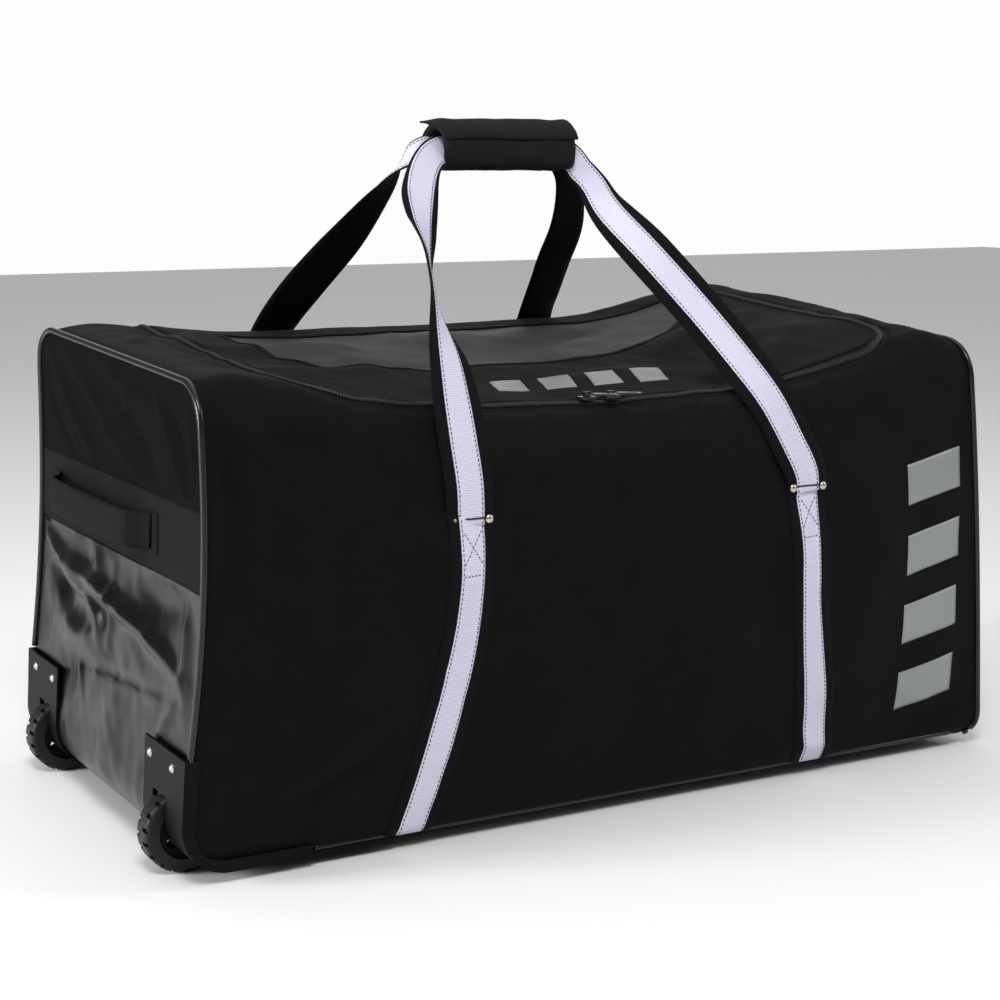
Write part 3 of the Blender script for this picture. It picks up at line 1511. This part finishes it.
@dataclass
class SewnStraps:
    """Webbing and reflective tape sewn down the front and the back."""

    top_x: tuple[float, float] = (-181.0, 200.0)
    splay: tuple[float, float] = (-56.0, 28.0)
    curve: tuple[float, float] = (1.7, 1.2)
    width: float = 50.0
    tape_width: float = 27.0
    thick: float = 2.2
    tape_thick: float = 0.7
    low: float = 17.0
    high: float = 321.0

    def centre(self, index: int, z: Array) -> Array:
        """Middle of a strap at a height."""
        t = np.clip((300.0 - z) / 286.0, 0, 1)
        sway = 3.0 * np.sin(z / 40.0) * fade(z, 20, 80) * (1 - fade(z, 230, 290))
        return self.top_x[index] + self.splay[index] * t ** self.curve[index] + sway * (index > 0)

    def _band(self, index: int, front: bool, width: float, span: tuple, lifts: tuple) -> Sheet:
        """One band that follows the cloth.

        Args:
            index: 0 for the left strap, 1 for the right one.
            front: whether it is on the front.
            width: band width.
            span: lowest and highest point.
            lifts: heights of its edge and its face above the cloth.

        Returns:
            The closed band.
        """
        z = np.linspace(span[0], span[1], 90)
        u = np.linspace(-width / 2, width / 2, 13)
        edge = np.minimum(1.0, (width / 2 - np.abs(u)) / 1.2 + 0.25)
        x = self.centre(index, z)[:, None] + u[None, :]
        zz = np.broadcast_to(z[:, None], x.shape)
        top = FORM.on_front(x, zz, lifts[0] + (lifts[1] - lifts[0]) * edge[None, :], front)
        low = FORM.on_front(x, zz, lifts[0] - 0.4, front)
        uv = np.stack([zz, np.broadcast_to(u[None, :], x.shape)], axis=-1)
        if front:
            return slab(top[:, ::-1], low[:, ::-1], uv[:, ::-1])
        return slab(top, low, uv)

    def _seam(self, x: Array, z: Array, front: bool) -> Sheet:
        """Stitches along one line.

        Args:
            x: places along the bag.
            z: heights.
            front: whether it is on the front.

        Returns:
            The stitches.
        """
        lift = self.thick + self.tape_thick + 0.1
        path = FORM.on_front(x, z, lift, front)
        normal = FORM.normal(x, FORM.v_at_height(x, z, front))
        return dashes(path, normal)

    def build(self) -> None:
        """Make the straps, tapes and stitching of both sides."""
        for front, word in ((True, "front"), (False, "back")):
            tape, thread = None, None
            for index, place in enumerate(("left", "right")):
                band = self._band(index, front, self.width, (self.low, self.high), (0.0, self.thick))
                name = f"sewn_strap_{word}_{place}"
                report(band.build("webbing_" + name[5:], FINISH.webbing, "bag", (name,), slot="webbing"))
                lifts = (self.thick, self.thick + self.tape_thick)
                part = self._band(index, front, self.tape_width, (self.low + 1, 312.0), lifts)
                tape = part if tape is None else tape.joined(part)
                for seam in self._seams(index, front):
                    thread = seam if thread is None else thread.joined(seam)
            report(
                tape.build(
                    "tape_" + word, FINISH.tape, "bag", ("sewn_tape_" + word,), slot="reflective_tape"
                )
            )
            report(thread.build("tape_stitching_" + word, FINISH.thread, "bag", slot="webbing"))

    def _seams(self, index: int, front: bool) -> list:
        """Stitches of one strap: both edges, the cross and the bar.

        Args:
            index: 0 for the left strap, 1 for the right one.
            front: whether it is on the front.

        Returns:
            The seams' sheets.
        """
        z = np.linspace(self.low + 2, 310, 160)
        half = self.tape_width / 2 - 2.0
        seams = [self._seam(self.centre(index, z) + s * half, z, front) for s in (-1, 1)]
        t = np.linspace(0, 1, 24)
        for s in (-1, 1):
            z = 268 + 30 * t
            seams.append(self._seam(self.centre(index, z) + s * (2 * t - 1) * 10.5, z, front))
        z = np.full(24, 258.0)
        seams.append(self._seam(self.centre(index, z) + (2 * t - 1) * 11.5, z, front))
        return seams


@dataclass
class Rivets:
    """Domed rivets that pin the handles to the sewn straps."""

    radius: float = 4.3
    height: float = 2.6
    half: float = 18.5
    level: float = 308.0

    def build(self) -> None:
        """Make all eight heads and the bartacks between them."""
        sheet, tack = None, None
        turn = np.linspace(0, 2 * math.pi, 24, endpoint=False)
        rings = [(1.0, -0.4), (1.0, 0.25), (0.86, 0.55), (0.6, 0.85), (0.25, 1.0)]
        for side, depth in ((-1, 250.6), (1, 252.1)):
            for x0 in SewnStraps.top_x:
                for dx in (-self.half, self.half):
                    rows = []
                    for r, h in rings:
                        x = x0 + dx + self.radius * r * np.cos(turn)
                        y = np.full(24, side * (depth + self.height * h))
                        rows.append(np.column_stack([x, y, self.level + self.radius * r * np.sin(turn)]))
                    faces = grid_faces(len(rings), 24, wrap=True)
                    faces += [tuple(reversed(range(24))), tuple(96 + i for i in range(24))]
                    if side > 0:
                        faces = [tuple(reversed(f)) for f in faces]
                    part = Sheet(np.vstack(rows), faces, np.zeros((120, 2)))
                    sheet = part if sheet is None else sheet.joined(part)
                x = np.linspace(x0 - 14, x0 + 14, 12)
                line = np.column_stack([x, np.full(12, side * (depth + 0.6)), np.full(12, self.level + 1.5)])
                part = tube(line, 1.0, 6)
                tack = part if tack is None else tack.joined(part)
        report(sheet.build("rivet_heads", FINISH.nickel, "bag", ("strap_rivets",), slot="nickel"))
        report(tack.build("bartacks", FINISH.thread, "bag", slot="webbing"))


@dataclass
class Marks:
    """Plain slanted silver bars on the front and the lid."""

    lift: float = 0.5

    def build(self) -> None:
        """Make both groups of bars."""
        sheet = None
        for z in (54.0, 128.0, 202.0, 276.0):
            s, t = np.meshgrid(np.linspace(0, 1, 22), np.linspace(0, 1, 14))
            x = 338 + 74 * s
            height = z + 14 * s + 42 * t
            top = FORM.on_front(x, height, self.lift)
            part = slab(top, FORM.on_front(x, height, -0.2), np.stack([x, height], axis=-1))
            sheet = part if sheet is None else sheet.joined(part)
        report(sheet.build("bars_front", FINISH.silver, "bag", ("mark_front",), slot="silver_print"))
        sheet = None
        for x0 in (-96.0, -42.0, 12.0, 66.0):
            s, t = np.meshgrid(np.linspace(0, 1, 12), np.linspace(0, 1, 14))
            x = x0 + 34 * s + 14 * t
            y = -150 + 44 * t
            top = FORM.on_top(x, y, self.lift + 0.5)
            part = slab(top, FORM.on_top(x, y, 0.2), np.stack([x, y], axis=-1))
            sheet = part if sheet is None else sheet.joined(part)
        report(sheet.build("bars_lid", FINISH.silver, "lid", ("mark_lid",), slot="silver_print"))


# --------------------------------------------------------------------------
# Carry handles and grab handles
# --------------------------------------------------------------------------

# Each row holds x, y, z and the direction that the tape side faces
FRONT_PATH = (
    (-181, -249.5, 303, 0, -1, 0),
    (-182, -249, 340, 0, -1, 0.03),
    (-185, -243, 378, 0, -1, 0.1),
    (-186, -232, 415, 0.1, -1, 0.15),
    (-185, -213, 459, 0.4, -0.9, 0.2),
    (-179, -178, 502, 0.8, -0.55, 0.1),
    (-166, -138, 537, 0.8, -0.55, 0.1),
    (-155, -103, 572, 0.3, -0.9, 0.2),
    (-138, -70, 602, -0.2, -0.9, 0.3),
    (-114, -38, 626, -0.2, -0.9, 0.4),
    (-88, -18, 638, 0, -1, 0.3),
    (-50, -14, 641, 0, -1, 0.1),
    (20, -14, 640, 0, -1, 0.1),
    (60, -13, 634, 0, -1, 0.1),
    (74, -20, 617, -0.1, -1, 0.1),
    (79, -36, 603, -0.2, -0.9, 0.2),
    (80, -68, 576, -0.3, -0.9, 0.2),
    (96, -118, 535, -0.3, -0.9, 0.2),
    (123, -168, 481, -0.25, -0.9, 0.2),
    (145, -208, 434, -0.2, -0.95, 0.15),
    (163, -234, 396, -0.1, -1, 0.1),
    (183, -246, 353, 0, -1, 0.05),
    (197, -249.5, 324, 0, -1, 0),
    (200, -249.5, 303, 0, -1, 0),
)
BACK_PATH = (
    (-181, 251, 303, 0, 1, 0),
    (-181, 252, 340, 0, 1, 0),
    (-177, 247, 385, 0, 1, 0.05),
    (-174, 232, 430, 0, 1, 0.2),
    (-171, 204, 459, 0, 1, 0.3),
    (-159, 162, 497, 0, 1, 0.2),
    (-139, 102, 548, -0.1, 1, 0.3),
    (-122, 54, 594, -0.3, 0.8, 0.6),
    (-112, 26, 622, -0.6, 0.1, 0.8),
    (-92, 14, 638, -0.3, -0.8, 0.6),
    (-50, 13, 642, 0, -1, 0.2),
    (20, 13, 641, 0, 0.6, 0.6),
    (58, 13, 638, 0, 1, 0.2),
    (76, 14, 622, 0.1, 1, 0.2),
    (90, 29, 600, 0, 1, 0.2),
    (112, 72, 558, 0, 1, 0.2),
    (127, 126, 512, 0, 1, 0.2),
    (144, 182, 469, 0, 1, 0.3),
    (157, 221, 440, 0, 1, 0.3),
    (166, 243, 408, 0, 1, 0.1),
    (184, 251, 362, 0, 1, 0),
    (198, 251.5, 324, 0, 1, 0),
    (200, 251, 303, 0, 1, 0),
)


@dataclass
class Handle:
    """One carry handle: webbing, tape on its outer side, and stitching."""

    word: str
    body: str
    rows: tuple
    width: float = 50.0
    tape_width: float = 27.0
    thick: float = 2.2

    def build(self) -> None:
        """Make the webbing, the tape and its stitches."""
        path = smooth_path(self.rows, 4.0)
        line, facing = path[:, :3], unit(path[:, 3:])
        tangent = unit(np.gradient(line, axis=0))
        across = np.cross(tangent, facing)
        gap = np.hypot(line[:, 2] - 640.0, 0.45 * line[:, 1])
        slim = 0.62 + 0.38 * fade(gap, 10, 120)
        web = ribbon(line, across, self.width, self.thick, scale=slim)
        report(
            web.build(
                self.word + "_handle_band", FINISH.webbing, self.body, (self.word + "_handle_webbing",), slot="webbing"
            )
        )
        tape = ribbon(line, across, self.tape_width, 0.7, lift=self.thick / 2 + 0.35)
        report(
            tape.build(
                self.word + "_handle_strip", FINISH.tape, self.body, (self.word + "_handle_tape",), slot="reflective_tape"
            )
        )
        across = unit(across - tangent * (across * tangent).sum(axis=1, keepdims=True))
        normal = np.cross(across, tangent)
        lift = normal * (self.thick / 2 + 0.8)
        half = self.tape_width / 2 - 2.0
        thread = dashes(line + across * half + lift, normal).joined(dashes(line - across * half + lift, normal))
        report(thread.build(self.word + "_handle_stitching", FINISH.thread, self.body, slot="webbing"))


@dataclass
class Grip:
    """Padded wrap in two halves, one on each handle, with a flap on top."""

    left: float = -88.0
    right: float = 63.0
    outer: tuple = (
        (-14, 618), (-22, 619), (-28, 624), (-30.5, 634), (-30, 645),
        (-26, 654), (-18, 661), (-9, 666), (-0.6, 668),
    )
    inner: tuple = (
        (-12, 621), (-17, 622.5), (-20, 626), (-21, 634), (-21, 643),
        (-18, 650), (-12, 655), (-6, 658), (-0.6, 659),
    )
    flap: tuple = (
        (-0.8, 669.6, -103.0), (-9, 668.6, -100.0), (-18, 664.6, -96.0),
        (-27.5, 657, -91.0), (-31.5, 650.5, -88.0),
    )

    def _skin(self, x: Array, mid: Array, outward: Array, depth: Array) -> Array:
        """One face of the padding.

        Args:
            x: grid of places along the grip.
            mid: middle line of the padding, as y and z.
            outward: unit directions out of that line.
            depth: distance from the line, for each grid point.

        Returns:
            Grid of points.
        """
        yz = mid[None, :, :] + outward[None, :, :] * depth[..., None]
        return np.stack([x, yz[..., 0], yz[..., 1]], axis=-1)

    def _half(self, mirror: int) -> Sheet:
        """One padded half of the wrap.

        Args:
            mirror: -1 for the front half, 1 for the back one.

        Returns:
            The closed padding.
        """
        x = np.linspace(self.left, self.right, 46)
        out = smooth_path([(p[0], p[1], 0) for p in self.outer], 2.2)[:, :2]
        at = np.linspace(0, 1, len(out))
        inner = smooth_path([(p[0], p[1], 0) for p in self.inner], 1.0)[:, :2]
        inner = np.column_stack([np.interp(at, np.linspace(0, 1, len(inner)), inner[:, i]) for i in (0, 1)])
        ends = np.minimum(1.0, np.minimum(x - self.left, self.right - x) / 5.0)
        puff = (0.35 + 0.65 * np.sqrt(ends))[:, None]
        xx, s = np.meshgrid(x, np.arange(len(out)) * 2.2, indexing="ij")
        wave = (0.9 * noise(xx, s, 22, 41) + 0.5 * noise(xx, s, 9, 42)) * ends[:, None]
        mid = (out + inner) / 2
        outward = unit(np.column_stack([out[:, 0] - inner[:, 0], out[:, 1] - inner[:, 1]]))
        half = np.linalg.norm(out - inner, axis=1)[None, :] / 2
        top, low = (
            self._skin(xx, mid, outward, sign * half * puff + extra)
            for sign, extra in ((1.0, wave), (-1.0, 0 * wave))
        )
        uv = np.stack([xx, s], axis=-1)
        if mirror > 0:
            top, low = top * (1, -1, 1), low * (1, -1, 1)
            return slab(top[:, ::-1], low[:, ::-1], uv[:, ::-1])
        return slab(top, low, uv)

    def _flap(self) -> Sheet:
        """Flap that closes the wrap, with a slanted loose end."""
        rows = []
        for y, z, left in self.flap:
            x = np.linspace(left, self.right + 1, 40)
            sway = 0.7 * noise(x, 0 * x + y, 16, 43)
            droop = 3.0 * (1 - fade(x, left, left + 24))
            rows.append(np.column_stack([x, y + 0 * x, z + sway - droop * (z - 645) / 25]))
        top = np.stack(rows, axis=1)
        low = top - (0, -1.2, 1.8)
        s = np.broadcast_to(np.array([0.0, 9.0, 19.0, 31.0, 39.0])[None, :], top.shape[:2])
        uv = np.stack([top[..., 0], s], axis=-1)
        return slab(top[:, ::-1], low[:, ::-1], uv[:, ::-1])

    def build(self) -> None:
        """Make both halves and the flap."""
        front = self._half(-1).build(
            "grip_pad_front", FINISH.grip, "front_handle", ("grip_wrap",), slot="grip_fabric"
        )
        back = self._half(1).build(
            "grip_pad_back", FINISH.grip, "back_handle", ("grip_back_pad",), slot="grip_fabric"
        )
        report(front)
        report(back)
        report(self._flap().build("grip_flap", FINISH.grip, "front_handle", slot="grip_fabric"))


@dataclass
class GrabHandle:
    """Webbing loop on one end band."""

    side: int
    word: str
    start: float
    stop: float
    z: float = 297.0
    width: float = 34.0

    def build(self) -> None:
        """Make the loop, its sewn-down ends and their stitching."""
        rises = (0, 12, 22, 40)
        y = [self.start + d for d in rises] + [(self.start + self.stop) / 2]
        y = np.array(y + [self.stop - d for d in reversed(rises)])
        out = np.array([2.4, 5.0, 12.0, 18.0, 20.5, 18.5, 12.0, 5.0, 2.4])
        path = smooth_path(np.column_stack([self.side * out, y, 0 * y]), 3.0)
        x = FORM.end_x(self.side, np.full(len(path), self.z))
        slope = -self.side * (FORM.end_x(1, np.array([300.0])) - FORM.end_x(1, np.array([301.0])))[0]
        line = np.column_stack([x + path[:, 0], path[:, 1], np.full(len(path), self.z)])
        across = np.tile((slope, 0.0, 1.0), (len(line), 1)) * self.side
        band = ribbon(line, -across, self.width, 2.4)
        report(
            band.build(
                "grab_" + self.word + "_loop", FINISH.webbing, "grab_" + self.word, ("end_handle_" + self.word,), slot="webbing"
            )
        )
        patches = None
        for y0, y1 in ((self.start - 16, self.start + 7), (self.stop - 7, self.stop + 16)):
            yy, zz = np.meshgrid(np.linspace(y0, y1, 8), np.linspace(self.z - 19, self.z + 19, 12))
            top = end_place(self.side, yy, zz, 1.1)
            low = end_place(self.side, yy, zz, -0.3)
            uv = np.stack([yy, zz], axis=-1)
            part = slab(top, low, uv) if self.side > 0 else slab(top[:, ::-1], low[:, ::-1], uv[:, ::-1])
            patches = part if patches is None else patches.joined(part)
        report(patches.build("grab_" + self.word + "_patches", FINISH.webbing, "bag", slot="webbing"))


# --------------------------------------------------------------------------
# Moulded and metal parts, stage
# --------------------------------------------------------------------------


def dress(names: Sequence[str], finish: Finish, bevel: float = 0.0) -> None:
    """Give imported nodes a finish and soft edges.

    Args:
        names: node names.
        finish: their finish.
        bevel: edge radius in millimetres.
    """
    for name in names:
        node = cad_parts[name]
        mesh = node.data
        layer = mesh.uv_layers.get("mm") or mesh.uv_layers.new(name="mm")
        count = len(mesh.vertices)
        co = np.empty(count * 3, np.float32)
        mesh.vertices.foreach_get("co", co)
        co = co.reshape(-1, 3) * 1000
        loops = np.empty(len(mesh.loops), int)
        mesh.loops.foreach_get("vertex_index", loops)
        flat = np.column_stack([co[:, 0] + 0.37 * co[:, 1], co[:, 2] + 0.61 * co[:, 1]])
        layer.data.foreach_set("uv", flat[loops].astype(np.float32).ravel())
        mesh.materials.clear()
        mesh.materials.append(finish.material())
        if bevel:
            soft = node.modifiers.new("edge", "BEVEL")
            soft.width = bevel * 0.001
            soft.segments = 2
            soft.limit_method = "ANGLE"
            soft.angle_limit = math.radians(40)
        LOG.info("%s: %s", name, finish.name)


@dataclass(frozen=True)
class Studio:
    """Pale floor, soft lights and the camera."""

    place: tuple[float, float, float] = (-1.0188, -1.8094, 0.6315)
    yaw: float = 29.316
    pitch: float = 9.749
    lens: float = 71.894
    floor_half: float = 9.0

    def _softbox(self, name: str, place: tuple, aim: tuple, size: float, power: float) -> None:
        """Hang one square light.

        Args:
            name: light name.
            place: where it hangs, in metres.
            aim: point it faces.
            size: side in metres.
            power: watts.
        """
        data = bpy.data.lights.new(name, "AREA")
        data.shape = "SQUARE"
        data.size = size
        data.energy = power
        lamp = bpy.data.objects.new(name, data)
        lamp.location = place
        direction = Vector(aim) - Vector(place)
        lamp.rotation_euler = direction.to_track_quat("-Z", "Y").to_euler()
        bpy.context.collection.objects.link(lamp)

    def _sky(self, tree) -> None:
        """Soft surround: white behind the bag, dim round the other sides."""
        coords = add_node(tree, "ShaderNodeTexCoord").outputs["Generated"]
        ahead = (math.sin(math.radians(self.yaw)), math.cos(math.radians(self.yaw)), 0.0)
        dot = add_node(tree, "ShaderNodeVectorMath", {"operation": "DOT_PRODUCT"})
        tree.links.new(coords, dot.inputs[0])
        dot.inputs[1].default_value = ahead
        ramp = add_node(tree, "ShaderNodeValToRGB", None, {"Fac": dot.outputs["Value"]})
        ramp.color_ramp.elements[0].position = 0.84
        ramp.color_ramp.elements[0].color = (0.16, 0.16, 0.165, 1)
        ramp.color_ramp.elements[1].position = 0.92
        ramp.color_ramp.elements[1].color = (0.98, 0.98, 0.98, 1)
        split = add_node(tree, "ShaderNodeSeparateXYZ", None, {"Vector": coords})
        high = add_node(tree, "ShaderNodeValToRGB", None, {"Fac": split.outputs["Z"]})
        high.color_ramp.elements[0].position = 0.45
        high.color_ramp.elements[0].color = (0.0, 0.0, 0.0, 1)
        high.color_ramp.elements[1].position = 0.8
        high.color_ramp.elements[1].color = (0.66, 0.66, 0.66, 1)
        both = add_node(tree, "ShaderNodeVectorMath", {"operation": "MAXIMUM"})
        tree.links.new(ramp.outputs["Color"], both.inputs[0])
        tree.links.new(high.outputs["Color"], both.inputs[1])
        tree.links.new(both.outputs["Vector"], tree.nodes["Background"].inputs["Color"])

    def build(self) -> None:
        """Make the floor, lights, world and camera."""
        far = self.floor_half
        mesh = bpy.data.meshes.new("floor")
        mesh.from_pydata([(-far, -far, 0), (far, -far, 0), (far, far, 0), (-far, far, 0)], [], [(0, 1, 2, 3)])
        mesh.materials.append(Finish("pale studio floor", "f2f2f2", 0.9, specular=0.1).material())
        stage = bpy.data.objects.new("floor", mesh)
        bpy.context.collection.objects.link(stage)
        world = bpy.data.worlds.new("studio")
        world.use_nodes = True
        self._sky(world.node_tree)
        bpy.context.scene.world = world
        bpy.context.scene.view_settings.view_transform = "Standard"
        self._softbox("key", (-1.2, -2.2, 3.0), (0, 0, 0.25), 1.0, 62)
        self._softbox("side", (-2.8, 0.4, 0.8), (-0.4, 0, 0.25), 0.7, 62)
        self._softbox("fill", (2.8, -1.6, 1.8), (0.1, 0, 0.25), 1.2, 22)
        self._softbox("top", (0.4, 0.4, 2.9), (0, 0.1, 0.2), 2.2, 10)
        data = bpy.data.cameras.new("camera")
        data.lens = self.lens
        data.sensor_width = 36.0
        camera = bpy.data.objects.new("camera", data)
        camera.location = self.place
        camera.rotation_euler = (math.radians(90 - self.pitch), 0, math.radians(-self.yaw))
        bpy.context.collection.objects.link(camera)
        bpy.context.scene.camera = camera


def main() -> None:
    """Build every piece."""
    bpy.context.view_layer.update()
    Studio().build()
    Shell().build()
    Lid().build()
    Zip().build()
    Piping().build()
    SewnStraps().build()
    Rivets().build()
    Marks().build()
    Handle("front", "front_handle", FRONT_PATH).build()
    Handle("back", "back_handle", BACK_PATH).build()
    Grip().build()
    GrabHandle(-1, "left", -104.0, 174.0).build()
    GrabHandle(1, "right", -121.0, 121.0).build()
    dress(("wheel_housing_front", "wheel_housing_back", "runner_front", "runner_back"), FINISH.plastic, 0.8)
    dress(("foot_front", "foot_back"), FINISH.rubber, 1.0)
    dress(("tyre_front", "tyre_back"), FINISH.rubber, 0.7)
    dress(("hub_front", "hub_back"), FINISH.plastic, 0.6)
    dress(("axle_front", "axle_back"), FINISH.steel, 0.3)
    dress(("housing_rivets",), FINISH.nickel, 0.0)
    dress(("zip_slider_left", "zip_slider_right", "pull_tab_left", "pull_tab_right"), FINISH.enamel, 0.3)
    dress(("base_board",), FINISH.board, 0.5)


if __name__ == "__main__":
    logging.basicConfig(level=logging.INFO)
    main()
